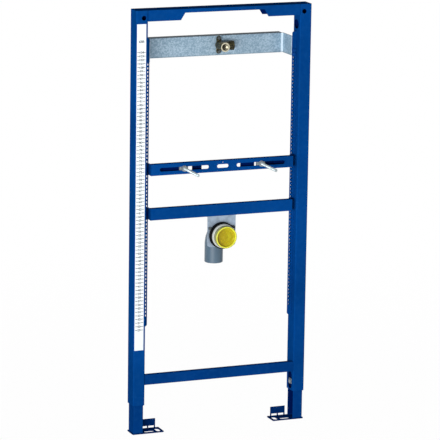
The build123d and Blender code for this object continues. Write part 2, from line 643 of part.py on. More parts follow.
def make_waste_cap():
    """A dished cap whose hollow plug presses into the socket."""
    plug_radius = SOCKET_BORE / 2 - WASTE_CLEARANCE
    dish_radius = CAP_DIAMETER / 2 - CAP_RIM
    hollow_radius = plug_radius - CAP_PLUG_WALL
    dish_floor = CAP_LENGTH - CAP_DISH
    half_section = Polyline(
        (0, dish_floor - CAP_WEB),
        (hollow_radius, dish_floor - CAP_WEB),
        (hollow_radius, -CAP_PLUG_LENGTH),
        (plug_radius, -CAP_PLUG_LENGTH),
        (plug_radius, 0),
        (CAP_DIAMETER / 2, 0),
        (CAP_DIAMETER / 2, CAP_LENGTH - CAP_CHAMFER),
        (CAP_DIAMETER / 2 - CAP_CHAMFER, CAP_LENGTH),
        (dish_radius, CAP_LENGTH),
        (dish_radius - CAP_DISH_TAPER, dish_floor),
        (0, dish_floor),
        close=True,
    )
    section_plane = Plane(origin=(0, SOCKET_FRONT, WASTE_AXIS), x_dir=(1, 0, 0), z_dir=(0, 0, -1))
    return revolve(section_plane * make_face(half_section), Axis((0, SOCKET_FRONT, WASTE_AXIS), (0, 1, 0)))


def make_scale_strip():
    """The thin strip on the left post's front that carries the height scale."""
    outer = -POST_OUTER + STRIP_EDGE_GAP
    strip_z = (STRIP_BOTTOM, FRAME_HEIGHT - STRIP_TOP_DROP)
    return block((outer, outer + STRIP_WIDTH), (FRONT - STRIP_THICK, FRONT), strip_z)


def make_all():
    """Every piece under its node name."""
    pieces = {
        "top_bar": make_top_bar(),
        "bottom_bar": make_bottom_bar(),
        "fixing_bar": make_fixing_bar(),
        "waste_bar": make_waste_bar(),
        "supply_bar": make_supply_bar(),
        "supply_elbow": make_supply_elbow(),
        "waste_bracket": make_waste_bracket(),
        "waste_bend": make_waste_bend(),
        "waste_seal": make_waste_seal(),
        "waste_collar": make_waste_collar(),
        "waste_cap": make_waste_cap(),
        "scale_strip": make_scale_strip(),
    }
    lug_front = RAIL_FRONT - BAR_SHEET
    pieces["fixing_bar_screws"] = bar_screws(FIXING_SCREWS, lug_front, RAIL_BACK)
    pieces["waste_bar_screws"] = bar_screws(WASTE_SCREWS, lug_front, RAIL_BACK)
    pieces["supply_bar_screws"] = bar_screws(SUPPLY_SCREWS, RAIL_FRONT, RAIL_BACK + SUPPLY_BAR_SHEET)
    paired = {
        "post": make_post,
        "rail": make_rail,
        "leg": make_leg,
        "foot": make_foot,
        "clamp_bolt": make_clamp_bolt,
        "stud": make_stud,
        "stud_washer": make_stud_washer,
        "stud_nut": make_stud_nut,
        "slide_nut": make_slide_nut,
    }
    for side, word in ((LEFT, "left"), (RIGHT, "right")):
        for name, make in paired.items():
            pieces[f"{word}_{name}"] = make(side)
    return pieces


def main():
    os.makedirs("parts", exist_ok=True)
    to_origin = Pos(0, -FLOOR_LINE, 0)
    for name, piece in make_all().items():
        export_step(to_origin * piece, f"parts/{name}.step")


main()
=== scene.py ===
"""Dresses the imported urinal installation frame: paint, zinc, brass, plastics, threads, scale print and stage.

The sizes are in metres and the colours are linear.
"""

import json
from collections import namedtuple
from itertools import product
from math import cos, pi, radians, sin, tan

import bmesh
import bpy
from bpy.props import FloatProperty, FloatVectorProperty, IntProperty, PointerProperty
from mathutils import Matrix, Vector


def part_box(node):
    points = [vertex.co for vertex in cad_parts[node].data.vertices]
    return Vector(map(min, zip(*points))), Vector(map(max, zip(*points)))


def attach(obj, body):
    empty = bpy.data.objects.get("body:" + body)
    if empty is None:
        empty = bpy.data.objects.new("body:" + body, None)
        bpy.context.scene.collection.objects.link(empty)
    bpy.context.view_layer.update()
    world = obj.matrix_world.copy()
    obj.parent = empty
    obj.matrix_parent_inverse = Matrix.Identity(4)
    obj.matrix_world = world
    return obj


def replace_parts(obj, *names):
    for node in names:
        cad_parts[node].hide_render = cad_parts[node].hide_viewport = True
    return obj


bl_info = {
    "name": "Urinal installation frame",
    "version": (1, 0, 0),
    "blender": (4, 5, 0),
    "location": "View3D > Sidebar > Install Frame",
    "description": "Finishes the pieces of a wall-hung urinal's steel mounting frame",
    "category": "Object",
}

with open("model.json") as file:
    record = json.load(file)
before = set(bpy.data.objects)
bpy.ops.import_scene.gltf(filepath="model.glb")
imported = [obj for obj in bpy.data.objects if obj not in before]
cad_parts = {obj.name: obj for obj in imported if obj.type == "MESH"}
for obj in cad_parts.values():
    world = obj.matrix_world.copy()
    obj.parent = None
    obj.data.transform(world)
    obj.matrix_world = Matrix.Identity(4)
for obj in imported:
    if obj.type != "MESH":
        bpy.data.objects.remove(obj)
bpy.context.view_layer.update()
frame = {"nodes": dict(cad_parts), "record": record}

MM = 0.001
SIDES = ("left", "right")
LUGGED_BARS = ("fixing_bar", "waste_bar")
TO_ROOM = (0.0, -1.0, 0.0)
TO_WALL = (0.0, 1.0, 0.0)
SHARP_ANGLE = radians(32)
ROUNDED_ANGLE = radians(30)
SMALL_RING_STEPS = 48
LARGE_RING_STEPS = 96
WASTE_BORE = 28.8 * MM
PLATE_STREAK = (1.0, 1.0, 0.15)
FASTENER_STREAK = (1.0, 0.2, 1.0)
Box = namedtuple("Box", "low high middle size")


def srgb(red, green, blue):
    """A colour given in screen values of 0 to 255, as linear values."""
    parts = []
    for value in (red, green, blue):
        part = value / 255
        parts.append(part / 12.92 if part <= 0.04045 else ((part + 0.055) / 1.055) ** 2.4)
    return tuple(parts)


def colour_property(label, description, default):
    """A colour that the sidebar shows as a swatch."""
    return FloatVectorProperty(
        name=label, description=description, subtype="COLOR", size=3, min=0.0, max=1.0, default=default
    )


def length_property(label, description, default):
    """A length in metres."""
    return FloatProperty(
        name=label, description=description, subtype="DISTANCE", unit="LENGTH", min=0.0, default=default
    )


def share_property(label, description, default):
    """A plain share between nothing and all."""
    return FloatProperty(
        name=label, description=description, subtype="FACTOR", min=0.0, max=1.0, default=default
    )


def angle_property(label, description, degrees):
    """An angle given in degrees."""
    return FloatProperty(name=label, description=description, subtype="ANGLE", default=radians(degrees))


# Settings

class PaintSettings(bpy.types.PropertyGroup):
    """The stoved paint on the steel."""
    colour: colour_property("Paint", "Colour of the paint in even light", srgb(3, 68, 142))
    # Painted shade: a darker copy of the paint for the bottom bar and the legs, which stand nearer the floor
    low: colour_property("Low paint", "Darker coat of the bottom bar and the legs", srgb(2, 60, 131))
    # Painted shade: a darker copy of the paint for the feet on the floor
    foot: colour_property("Foot paint", "Dip coat of the feet", srgb(0, 42, 106))
    # Painted shade: a darker tone along every fold of the painted steel
    edge: colour_property("Edge tone", "Tone where the coat gathers along a fold", srgb(0, 40, 98))
    worn: colour_property("Worn tone", "Tone of the fine pale specks", srgb(38, 98, 160))
    # Painted shade inside hollow bars, posts and legs and on the bars' lugs
    inside: colour_property("Inside", "Thin coat in hollow bars and on lugs", srgb(0, 25, 86))
    deep: share_property("Deep tone", "Share of the colour that is left where the coat lies thick", 0.78)
    grain: length_property("Grain", "Width of the orange peel", 1.6 * MM)
    # Reach of the painted shade from a fold, which is also the radius of the rounded normal
    edge_width: length_property("Edge width", "Reach of the gathered coat from a fold", 0.9 * MM)
    wall: length_property("Wall", "Depth below the outside at which a bar's inside begins", 1.0 * MM)
    bar_depth: length_property("Bar depth", "Depth of the lugged bars without their lugs", 15.0 * MM)
    roughness: share_property("Roughness", "Roughness of the coat", 0.42)


class MetalSettings(bpy.types.PropertyGroup):
    """The bare, zinc-coated and brass pieces."""
    spangle: length_property("Spangle", "Width of a zinc crystal on the supply bar", 3.0 * MM)
    galvanised: colour_property("Galvanised", "Middle tone of the spangled sheet", srgb(144, 171, 190))
    galvanised_dark: colour_property("Dark crystal", "Tone of the darkest crystals", srgb(100, 126, 145))
    galvanised_light: colour_property("Light crystal", "Tone of the lightest crystals", srgb(190, 210, 224))
    # Painted highlight: a bright line beside the supply bar's end folds
    fold: colour_property("Fold", "Bright line beside the end folds of the supply bar", srgb(228, 242, 250))
    fold_highlight_width: length_property("Fold width", "Width of the bright line beside an end fold", 6.5 * MM)
    fold_inset: length_property("Fold inset", "Distance of the end folds from the rails' edges", 2.0 * MM)
    # Painted shade on the supply bar's upward faces; the same tone also darkens its lower hem
    upward_shade_and_hem: colour_property("Tarnish", "Dull film on the upper folds and the lower hem", srgb(58, 72, 80))
    plate: colour_property("Zinc plate", "Tone of the waste bracket", srgb(158, 175, 194))
    fastener: colour_property("Fastener", "Tone of the studs", srgb(176, 189, 193))
    clamp: colour_property("Dull zinc", "Tone of nuts, washers and leg clamps", srgb(144, 153, 157))
    dull_fastener: colour_property("Dull fastener", "Tone of the small plates' screws", srgb(84, 91, 94))
    # Dark navy that matches the painted shade on the bars' lugs
    lug_shade_fastener: colour_property("Dark fastener", "Tone of the screws on the bars' lugs", srgb(8, 30, 66))
    brass: colour_property("Brass", "Tone of the elbow's turned faces", srgb(198, 192, 168))
    brass_cast: colour_property("Cast brass", "Tone of the elbow's cast skin", srgb(104, 99, 62))
    brass_dark: colour_property("Dark brass", "Tone of the stains on the cast skin", srgb(28, 27, 16))


class PlasticSettings(bpy.types.PropertyGroup):
    """The tones of the moulded pieces of the waste."""
    pipe: colour_property("Pipe", "Grey of the waste bend", srgb(75, 99, 117))
    rubber: colour_property("Rubber", "Black of the sealing ring", srgb(4, 4, 5))
    collar: colour_property("Collar", "Tone of the pale collar", srgb(194, 199, 194))
    cap: colour_property("Cap", "Yellow of the dished cap", srgb(184, 173, 17))
    # Painted highlight: a lit copy of the cap's yellow for its rim
    cap_rim_highlight: colour_property("Cap rim", "Thin bright rim of the cap", srgb(226, 226, 72))
    cap_shade: colour_property("Cap shade", "Deep yellow inside the dish", srgb(152, 126, 10))
    # Painted shade on the cap's outer wall
    cap_skirt_shade: colour_property("Cap skirt", "Dull tone of the cap's outer wall", srgb(150, 155, 92))


class FastenerSettings(bpy.types.PropertyGroup):
    """Thread and head sizes that the solids leave plain."""
    stud_pitch: length_property("Stud pitch", "Rise of the stud's thread in a turn", 1.25 * MM)
    stud_root: length_property("Stud root", "Radius at the bottom of the stud's thread", 3.35 * MM)
    thread_steps: IntProperty(name="Thread steps", description="Steps in a turn of thread", default=14, min=6)
    head_thick: length_property("Head thickness", "Thickness of a bar screw's head", 3.5 * MM)
    nut_thick: length_property("Nut thickness", "Thickness of a bar screw's nut", 4.0 * MM)
    head_flats: length_property("Head flats", "Width across a bar screw's flats", 8.0 * MM)
    screw_radius: length_property("Screw radius", "Radius of a bar screw's thread", 2.5 * MM)
    screw_proud: length_property("Screw end", "Length of a bar screw behind its nut", 2.4 * MM)
    bracket_spacing: length_property("Bracket spacing", "Distance between the bracket's screws", 68.0 * MM)
    bracket_drop: length_property("Bracket drop", "Depth of the bracket's screws below its flange", 33.0 * MM)
    elbow_spacing: length_property("Elbow spacing", "Distance between the elbow's screws", 37.0 * MM)
    elbow_plate: length_property("Elbow plate", "Thickness of the elbow's plate", 4.0 * MM)
    sheet: length_property("Sheet", "Thickness of the bracket and of the supply bar", 2.0 * MM)
    clamp_flats: length_property("Clamp flats", "Width across a clamp bolt's flats", 11.0 * MM)
    clamp_head: length_property("Clamp head", "Thickness of a clamp bolt's head", 4.0 * MM)
    clamp_strap: length_property("Clamp strap", "Thickness of the strap under a clamp bolt's head", 3.0 * MM)
    mouth_pitch: length_property("Mouth pitch", "Rise of the elbow's pipe thread in a turn", 1.814 * MM)
    mouth_bore: length_property("Mouth bore", "Radius of the elbow's threaded mouth", 9.3 * MM)
    mouth_thread: length_property("Mouth thread", "Height of the elbow's pipe thread", 0.9 * MM)


class ScaleSettings(bpy.types.PropertyGroup):
    """The printed height scale on the left post."""
    film: colour_property("Film", "White of the printed film", srgb(243, 250, 254))
    ink: colour_property("Ink", "Grey of the print", srgb(46, 52, 56))
    row: length_property("Row", "Distance from one number to the next", 10.0 * MM)
    digit: length_property("Digit", "Height of the numbers", 6.2 * MM)
    first: IntProperty(name="First", description="Lowest height on the scale, in centimetres", default=29)
    last: IntProperty(name="Last", description="Greatest height on the scale, in centimetres", default=104)
    line: length_property("Line", "Thickness of a tick's line", 1.5 * MM)
    print_height: length_property("Print height", "How far the ink stands on the film", 0.06 * MM)


class StageSettings(bpy.types.PropertyGroup):
    """The camera, the lamps and the floor."""
    azimuth: angle_property("Azimuth", "Turn of the view from straight ahead", 22.220)
    elevation: angle_property("Elevation", "How far the camera looks down", 12.185)
    roll: angle_property("Roll", "Turn of the camera about its own axis", 0.858)
    aim: FloatVectorProperty(
        name="Aim", description="Point in the middle of the picture", subtype="TRANSLATION",
        default=(0.0031, 0.009, 0.5705),
    )
    distance: length_property("Distance", "Distance of the camera from its aim", 7.868)
    lens: FloatProperty(name="Lens", description="Focal length in millimetres", default=239.44)
    key_power: FloatProperty(name="Key", description="Power of the large lamp at the left", default=192.0)
    low_power: FloatProperty(name="Low", description="Power of the lamp on the floor in front", default=10.0)
    back_power: FloatProperty(name="Back", description="Power of the lamp behind the frame", default=110.0)
    ambient: share_property("Ambient", "Light that matt faces take from all round", 0.20)
    floor: colour_property("Floor", "Colour of the floor", (0.82, 0.82, 0.82))


class FrameSettings(bpy.types.PropertyGroup):
    """All that can be set on the frame."""
    paint: PointerProperty(type=PaintSettings)
    metal: PointerProperty(type=MetalSettings)
    plastic: PointerProperty(type=PlasticSettings)
    fastener: PointerProperty(type=FastenerSettings)
    scale: PointerProperty(type=ScaleSettings)
    stage: PointerProperty(type=StageSettings)


def settings():
    """The settings of the open scene."""
    return bpy.context.scene.install_frame


# Shader maths

class Wire:
    """A value socket on which arithmetic adds Math nodes."""

    def __init__(self, finish, socket):
        self.finish = finish
        self.socket = socket

    def math(self, operation, first, second=0.0):
        return self.finish.add("ShaderNodeMath", {"operation": operation}, {0: first, 1: second})

    def __add__(self, other):
        return self.math("ADD", self, other)

    __radd__ = __add__

    def __sub__(self, other):
        return self.math("SUBTRACT", self, other)

    def __rsub__(self, other):
        return self.math("SUBTRACT", other, self)

    def __mul__(self, other):
        return self.math("MULTIPLY", self, other)

    __rmul__ = __mul__

    def __abs__(self):
        return self.math("ABSOLUTE", self)

    def most(self, other):
        return self.math("MAXIMUM", self, other)

    def ramp(self, low, high):
        """0 below low, 1 above high and a smooth rise between them."""
        kind = {"interpolation_type": "SMOOTHSTEP", "clamp": True}
        return self.finish.add("ShaderNodeMapRange", kind, {"Value": self, "From Min": low, "From Max": high})


class Finish:
    """A material that is built up node by node."""

    def __init__(self, tree):
        self.tree = tree
        self.tree.nodes.clear()

    def add(self, kind, choices, inputs, output=0):
        """A node with its choices and then its sockets, as a wire from one of its outputs."""
        node = self.tree.nodes.new(kind)
        for name, value in choices.items():
            setattr(node, name, value)
        for name, value in inputs.items():
            if isinstance(value, Wire):
                self.tree.links.new(value.socket, node.inputs[name])
            else:
                node.inputs[name].default_value = value
        return Wire(self, node.outputs[output]) if len(node.outputs) else None

    def vector(self, operation, *operands, output=0):
        """Vector arithmetic on points or directions."""
        return self.add("ShaderNodeVectorMath", {"operation": operation}, dict(enumerate(operands)), output)

    def place(self):
        """The point in the frame's own metres."""
        return self.add("ShaderNodeTexCoord", {}, {}, "Object")

    def stretched(self, scale):
        return self.add("ShaderNodeMapping", {}, {"Vector": self.place(), "Scale": scale})

    def noise(self, size, detail=2.0, at=None):
        """Soft noise whose blots are about as wide as size."""
        inputs = {"Vector": at or self.place(), "Scale": 1 / size, "Detail": detail}
        return self.add("ShaderNodeTexNoise", {}, inputs)

    def mix(self, share, first, second):
        """A share of the second colour in the first."""
        first = first if isinstance(first, Wire) else (*first, 1.0)
        second = second if isinstance(second, Wire) else (*second, 1.0)
        return self.add("ShaderNodeMix", {"data_type": "RGBA"}, {0: share, 6: first, 7: second}, 2)

    def part(self, vector, axis):
        return self.add("ShaderNodeSeparateXYZ", {}, {0: vector}, axis)

    def along(self, axis):
        """The point's place on one axis."""
        return self.part(self.place(), axis)

    def away(self, centre, weights):
        """The distance from a point, with each axis weighed."""
        offset = self.vector("SUBTRACT", self.place(), tuple(centre))
        return self.vector("LENGTH", self.vector("MULTIPLY", offset, weights), output="Value")

    def within(self, centre, half):
        """1 inside a box about a point, 0 outside it."""
        offset = self.vector("SUBTRACT", self.place(), tuple(centre))
        sides = self.vector("ABSOLUTE", self.vector("DIVIDE", offset, tuple(half)))
        most = self.part(sides, 0).most(self.part(sides, 1)).most(self.part(sides, 2))
        return 1 - most.ramp(0.995, 1.0)

    def true_normal(self):
        return self.add("ShaderNodeNewGeometry", {}, {}, "Normal")

    def to_room(self):
        """1 on faces that look to the room."""
        return (-1.0 * self.part(self.true_normal(), 1)).ramp(0.6, 0.95)

    def rounded(self, radius):
        """The normal with every fold rounded to a radius."""
        return self.add("ShaderNodeBevel", {"samples": 4}, {"Radius": radius})

    def fold(self, rounded):
        """1 on a fold, 0 on a flat face."""
        turn = self.vector("DOT_PRODUCT", rounded, self.true_normal(), output="Value")
        return (1 - turn).ramp(0.01, 0.16)

    def bump(self, height, depth, strength, normal=None):
        """The normal, or a rounded one, with a relief of a depth."""
        inputs = {"Height": height, "Distance": depth, "Strength": strength}
        if normal:
            inputs["Normal"] = normal
        return self.add("ShaderNodeBump", {}, inputs)

    def surface(self, **sockets):
        """The principled surface, with sockets named by their labels in lower case."""
        inputs = {}
        for name, value in sockets.items():
            inputs[name.replace("_", " ").title().replace("Ior", "IOR")] = value
        shader = self.add("ShaderNodeBsdfPrincipled", {}, inputs)
        self.add("ShaderNodeOutputMaterial", {}, {"Surface": shader})


def new_material(name):
    """An empty material and the finish that fills it."""
    material = bpy.data.materials.new(name)
    material.use_nodes = True
    return material, Finish(material.node_tree)


def toned(tone, share):
    """A colour made darker, or brighter up to white."""
    return tuple(min(1.0, share * part) for part in tone)


# Materials

def paint_material(name, tone, hollow=None, lug=None):
    """Blue stoved paint: orange peel, a slow change of tone, fine specks and painted shade on the folds.

    A hollow is the middle and the half size of a bar's inside, which gets painted shade.
    A lug is the distance from the frame's middle at which a bar's end lugs begin, which get the same painted
    shade.
    """
    paint = settings().paint
    lug_blend = 0.5 * MM
    material, finish = new_material(name)
    rounded = finish.rounded(paint.edge_width)
    fold = finish.fold(rounded)
    drift = finish.noise(size=220 * MM).ramp(0.3, 0.7)
    speck = finish.noise(size=12 * MM, detail=3.0).ramp(0.35, 0.75)
    base = finish.mix(drift, toned(tone, paint.deep), tone)
    base = finish.mix(speck * 0.10, base, paint.worn)
    # Painted shade along the folds
    base = finish.mix(fold * 0.6, base, paint.edge)
    # Painted shade inside the hollow and on the lugs
    if hollow:
        base = finish.mix(finish.within(*hollow), base, paint.inside)
    if lug:
        beyond = abs(finish.along(0)).ramp(lug, lug + lug_blend)
        base = finish.mix(beyond, base, paint.inside)
    peel = finish.noise(paint.grain)
    finish.surface(
        base_color=base,
        roughness=paint.roughness + 0.10 * speck - 0.08 * fold,
        specular_ior_level=0.0,
        normal=finish.bump(peel, depth=0.1 * MM, strength=0.16, normal=rounded),
    )
    return material


def galvanised_material():
    """Spangled zinc: crystals of uneven tone, a painted highlight beside the end folds, painted shade on upward
    faces and a darker lower hem.
    """
    metal = settings().metal
    reach = 5 * MM
    material, finish = new_material("galvanised_sheet")
    wave = finish.noise(size=6 * MM)
    waves = finish.add("ShaderNodeCombineXYZ", {}, {0: wave, 1: wave, 2: wave})
    at = finish.vector("MULTIPLY_ADD", waves, (reach, reach, reach), finish.place())

    def crystals(size, channel):
        """Cells of about one size, each with a tone of its own."""
        kind = {"voronoi_dimensions": "3D", "feature": "F1"}
        tones = finish.add("ShaderNodeTexVoronoi", kind, {"Vector": at, "Scale": 1 / size}, "Color")
        return finish.part(tones, channel)

    crystal = crystals(metal.spangle, 0)
    shard = crystals(metal.spangle / 2.6, 1)
    blot = finish.noise(size=35 * MM).ramp(0.35, 0.7)
    tone = (0.55 * crystal + 0.30 * shard + 0.15 * blot).ramp(0.18, 0.82)
    base = finish.mix(tone, metal.galvanised_dark, metal.galvanised_light)
    base = finish.mix(0.52, base, metal.galvanised)

    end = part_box("right_rail")[0].x - metal.fold_inset
    beside = abs(finish.along(0))
    started = beside.ramp(end - metal.fold_highlight_width, end - 0.7 * metal.fold_highlight_width)
    line = started - beside.ramp(end, end + 1.0 * MM)
    # Painted highlight: a bright line beside each end fold, on faces that look to the room
    base = finish.mix(line * finish.to_room() * 0.9, base, metal.fold)

    # Painted shade: upward faces darker and less metallic; the lower hem is darker as well
    film = finish.part(finish.true_normal(), 2).ramp(0.5, 0.9)
    height = finish.along(2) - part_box("supply_bar")[0].z
    hem = 1 - height.ramp(low=1.2 * MM, high=3.0 * MM)
    base = finish.mix((0.9 * film).most(0.35 * hem), base, metal.upward_shade_and_hem)
    finish.surface(
        base_color=base,
        metallic=0.3 - 0.3 * film,
        roughness=0.42 + 0.16 * shard + 0.1 * film,
        specular_ior_level=0.1,
        normal=finish.bump(tone, depth=0.05 * MM, strength=0.25, normal=finish.rounded(radius=1.2 * MM)),
    )
    return material


def zinc_material(name, tone, streak, roughness):
    """Bright zinc with the fine lines of rolling or turning along one direction."""
    material, finish = new_material(name)
    rounded = finish.rounded(radius=0.5 * MM)
    lines = finish.noise(size=1.0 * MM, at=finish.stretched(streak))
    cloud = finish.noise(size=14 * MM, detail=3.0).ramp(0.3, 0.75)
    base = finish.mix(cloud, tone, toned(tone, 0.72))
    # Painted highlight: a lighter tone on the folds
    base = finish.mix(finish.fold(rounded) * 0.4, base, toned(tone, 1.15))
    finish.surface(
        base_color=base,
        metallic=0.45,
        roughness=roughness + 0.14 * cloud + 0.10 * lines,
        normal=finish.bump(lines, depth=0.04 * MM, strength=0.12, normal=rounded),
    )
    return material


def fastener_material(name, tone, roughness):
    """The turned zinc of studs, nuts and clamps, made once for each name."""
    return bpy.data.materials.get(name) or zinc_material(name, tone, FASTENER_STREAK, roughness)


def bright_zinc():
    return fastener_material("zinc_fasteners_finish", settings().metal.fastener, roughness=0.26)


def dull_zinc():
    return fastener_material("dull_zinc", settings().metal.clamp, roughness=0.4)


def brass_material(mouth):
    """Cast brass: a dark, stained, sandy skin that is bright in the turned mouth and bore, with a painted
    highlight on its folds.
    """
    metal = settings().metal
    bore = settings().fastener.mouth_bore
    material, finish = new_material("brass")
    rounded = finish.rounded(radius=0.8 * MM)
    sand = finish.noise(size=0.9 * MM, detail=3.0)
    stain = finish.noise(size=7 * MM, detail=3.0).ramp(0.35, 0.7)
    turned_end = 1 - (finish.along(1) - mouth[1]).ramp(low=0.5 * MM, high=3.0 * MM)
    inside = 1 - finish.away(mouth, (1.0, 0.0, 1.0)).ramp(low=bore + 0.3 * MM, high=bore + 0.8 * MM)
    turned_faces = (finish.to_room() * turned_end).most(inside * 0.6)
    # Painted highlight on the folds, added to the bright turned mouth and bore
    bright = (finish.fold(rounded) * 0.5 + turned_faces * 0.9 - 0.25 * stain).ramp(0.0, 0.8)
    patch = finish.noise(size=4.5 * MM, detail=3.0).ramp(0.46, 0.66)
    base = finish.mix(patch, metal.brass_dark, metal.brass_cast)
    base = finish.mix(bright, base, metal.brass)
    finish.surface(
        base_color=base,
        metallic=0.75,
        roughness=0.46 - 0.2 * bright + 0.08 * stain,
        normal=finish.bump(sand, depth=0.12 * MM, strength=0.3 - 0.22 * bright, normal=rounded),
    )
    return material


def plastic_material(name, tone, shade, roughness, coat, swirl, shine=0.5):
    """A moulded plastic: faint flow marks in a share of the tone, fine grain and softened edges."""
    material, finish = new_material(name)
    rounded = finish.rounded(radius=0.8 * MM)
    flow = finish.noise(swirl, at=finish.stretched((1.0, 1.0, 0.35))).ramp(0.3, 0.75)
    grain = finish.noise(size=0.7 * MM)
    base = finish.mix(flow * 0.5, tone, toned(tone, shade))
    # Painted highlight: a lighter tone on the folds
    base = finish.mix(finish.fold(rounded) * 0.3, base, toned(tone, 1.3))
    finish.surface(
        base_color=base,
        roughness=roughness + 0.08 * flow,
        specular_ior_level=shine,
        coat_weight=coat,
        coat_roughness=0.2,
        normal=finish.bump(grain, depth=0.05 * MM, strength=0.15, normal=rounded),
    )
    return material


def screw_material(name, tone):
    """A dull finish with hardly any shine."""
    return plastic_material(name, tone, shade=0.6, roughness=0.5, coat=0.0, swirl=10 * MM, shine=0.1)


def cap_material(low, middle, outer, rim):
    """Yellow plastic: a painted highlight on the rim, painted shade deeper in the dish and more at its left,
    and painted shade on the outer wall.
    """
    plastic = settings().plastic
    material, finish = new_material("yellow_cap")
    rounded = finish.rounded(radius=0.6 * MM)
    grain = finish.noise(size=1.2 * MM)
    depth = (finish.along(1) - low.y).ramp(low=0.4 * MM, high=7.0 * MM)
    flow = finish.noise(size=12 * MM).ramp(0.3, 0.7)
    # Painted highlight on the rim, with the dish behind it darker
    base = finish.mix(depth, plastic.cap_rim_highlight, plastic.cap)
    # Painted shade in the dish, darkest at its left; the flow marks add some random tone to it
    left_shade = 1 - (finish.along(0) - middle.x).ramp(-0.9 * rim, 0.6 * rim)
    base = finish.mix((0.3 * flow + 0.6 * left_shade) * depth, base, plastic.cap_shade)
    # Painted shade on the outer wall
    outer_wall = finish.away(middle, (1.0, 0.0, 1.0)).ramp(low=outer - 1.2 * MM, high=outer - 0.3 * MM)
    base = finish.mix(outer_wall * 0.9, base, plastic.cap_skirt_shade)
    finish.surface(
        base_color=base,
        roughness=0.3 + 0.1 * flow,
        specular_ior_level=0.2,
        coat_weight=0.1,
        coat_roughness=0.2,
        subsurface_weight=0.08,
        subsurface_scale=2.0 * MM,
        normal=finish.bump(grain, depth=0.04 * MM, strength=0.1, normal=rounded),
    )
    return material


def film_material():
    """The white film of the height scale, faintly uneven."""
    tone = settings().scale.film
    material, finish = new_material("scale_vinyl")
    cloud = finish.noise(size=50 * MM).ramp(0.3, 0.7)
    finish.surface(
        base_color=finish.mix(cloud * 0.6, tone, toned(tone, 0.94)),
        roughness=0.4 + 0.1 * cloud,
        specular_ior_level=0.3,
        normal=finish.bump(finish.noise(size=2.0 * MM), depth=0.03 * MM, strength=0.1),
    )
    return material


def ink_material():
    """Grey ink that lets some of the film through."""
    scale = settings().scale
    material, finish = new_material("scale_ink")
    wear = finish.noise(size=1.5 * MM, detail=3.0).ramp(0.45, 0.75)
    finish.surface(
        base_color=finish.mix(wear * 0.35, scale.ink, scale.film),
        roughness=0.5 + 0.1 * wear,
        specular_ior_level=0.2,
    )
    return material


# Mesh helpers

def new_piece(mesh, name, body, material):
    """Turns a bmesh into an object that rides on a body."""
    data = bpy.data.meshes.new(name)
    mesh.to_mesh(data)
    mesh.free()
    data.materials.append(material)
    data.shade_smooth()
    data.set_sharp_from_angle(angle=SHARP_ANGLE)
    piece = bpy.data.objects.new(name, data)
    bpy.context.scene.collection.objects.link(piece)
    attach(piece, body)
    return piece


def dress(node, material):
    """Gives a solid of the frame its finish."""
    slots = frame["nodes"][node].data.materials
    slots.clear()
    slots.append(material)


def box_of(node):
    """A solid's box: its corners, its middle and its size."""
    low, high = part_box(node)
    return Box(low, high, (low + high) / 2, high - low)


def turned(profile, steps, closed=False):
    """A bmesh turned about Z from (radius, height) points."""
    mesh = bmesh.new()
    verts = [mesh.verts.new((radius, 0.0, height)) for radius, height in profile]
    edges = [mesh.edges.new(pair) for pair in zip(verts, verts[1:])]
    if closed:
        edges.append(mesh.edges.new((verts[-1], verts[0])))
    bmesh.ops.spin(
        mesh, geom=verts + edges, cent=(0, 0, 0), axis=(0, 0, 1), angle=2 * pi, steps=steps, use_merge=True
    )
    bmesh.ops.remove_doubles(mesh, verts=mesh.verts, dist=0.001 * MM)
    bmesh.ops.recalc_face_normals(mesh, faces=mesh.faces)
    return mesh


def soften(mesh, width):
    """Rounds the sharp edges of a bmesh."""
    edges = [edge for edge in mesh.edges if edge.is_manifold and edge.calc_face_angle() > ROUNDED_ANGLE]
    bmesh.ops.bevel(
        mesh, geom=edges, offset=width, segments=2, profile=0.5, affect="EDGES", material=-1,
        clamp_overlap=True,
    )


def cuboid(size):
    """A box about the origin."""
    mesh = bmesh.new()
    bmesh.ops.create_cube(mesh, size=1.0)
    return moved(mesh, Matrix.Diagonal((*size, 1.0)))


def cut_flat(mesh, place, side, filled=True):
    """Cuts off what lies beyond a plane and, where asked, closes the cut."""
    geom = mesh.verts[:] + mesh.edges[:] + mesh.faces[:]
    cut = bmesh.ops.bisect_plane(mesh, geom=geom, plane_co=place, plane_no=side, clear_outer=True)
    if filled:
        rim = [item for item in cut["geom_cut"] if isinstance(item, bmesh.types.BMEdge)]
        bmesh.ops.edgeloop_fill(mesh, edges=rim)


def hexagon(flats, thick, bore=0.0):
    """A hexagon nut or head from Z = 0 up, with its corners turned off at both ends."""
    face = 0.475 * flats
    corner = 1.02 * flats / 2 / cos(pi / 6)
    drop = (corner - face) * tan(radians(30))
    flare = 0.12 * bore
    outside = [(face, thick), (corner, thick - drop), (corner, drop), (face, 0.0)]
    if bore:
        top = [(bore, flare), (bore, thick - flare), (bore + flare, thick)]
        mesh = turned([*top, *outside, (bore + flare, 0.0)], SMALL_RING_STEPS, closed=True)
    else:
        mesh = turned([(0.0, thick), *outside, (0.0, 0.0)], SMALL_RING_STEPS)
    for index in range(6):
        across = Vector((cos(index * pi / 3), sin(index * pi / 3), 0.0))
        cut_flat(mesh, across * flats / 2, across)
    bmesh.ops.recalc_face_normals(mesh, faces=mesh.faces)
    return mesh


